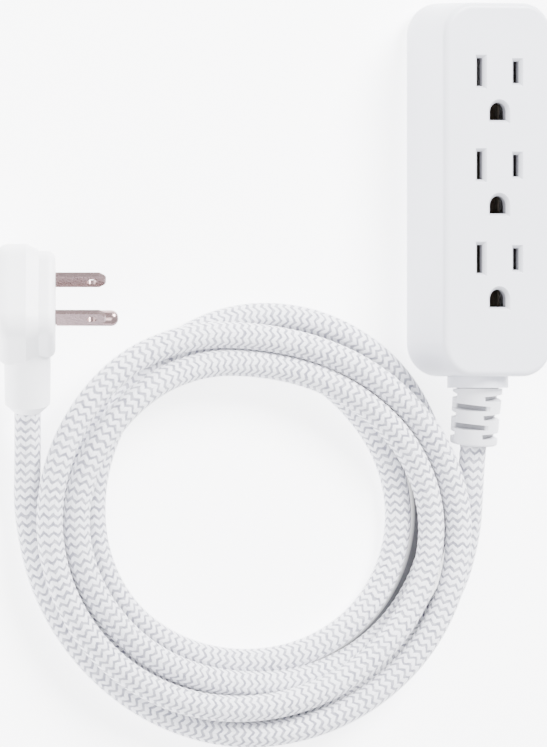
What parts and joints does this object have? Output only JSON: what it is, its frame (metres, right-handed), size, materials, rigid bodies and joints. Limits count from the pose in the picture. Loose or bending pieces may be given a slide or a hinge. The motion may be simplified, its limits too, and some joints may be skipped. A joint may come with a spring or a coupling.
{
  "type": "extension cord",
  "caption": "Braided extension cord with a flat oblong strip of outlets, a segmented strain relief, a loosely coiled cord and a flat angled plug with two blades and a round ground pin.",
  "frame": {"origin": "centre of the strip's back face, on the surface it lies on", "axes": "+Z out of the outlets, +Y along the strip away from the cord, +X to the hot slots' side"},
  "size_m": [0.1925, 0.2244, 0.0366],
  "materials": {
    "housing": "satin white moulded plastic",
    "boot": "matt off-white",
    "plug": "satin white moulded vinyl",
    "cord": "white and light grey braid",
    "jacket": "braid over the jacket",
    "prong": "nickel plated",
    "contact": "bright strip",
    "insert": "hard moulded plastic",
    "wire_black": "vinyl insulation",
    "wire_white": "vinyl insulation",
    "wire_green": "vinyl insulation",
    "screw": "zinc plated"
  },
  "bodies": {
    "root": {"front_cover": "housing", "back_cover": "housing", "case_screws": "screw", "strain_relief_boot": "boot", "cord_clamp": "insert", "clamp_screws": "screw", "neutral_bus": "contact", "hot_bus": "contact", "ground_bus": "contact", "bus_carrier": "insert", "strip_wire_neutral": "wire_white", "strip_wire_hot": "wire_black", "strip_wire_ground": "wire_green", "cord_end_in_strip": "jacket", "plug_body": "plug", "plug_insert": "insert", "neutral_blade": "prong", "hot_blade": "prong", "ground_pin": "prong", "plug_wire_neutral": "wire_white", "plug_wire_hot": "wire_black", "plug_wire_ground": "wire_green", "cord_end_in_plug": "jacket", "cord_strip_lead": "cord", "cord_coil": "cord", "cord_plug_lead": "cord"}
  },
  "joints": []
}
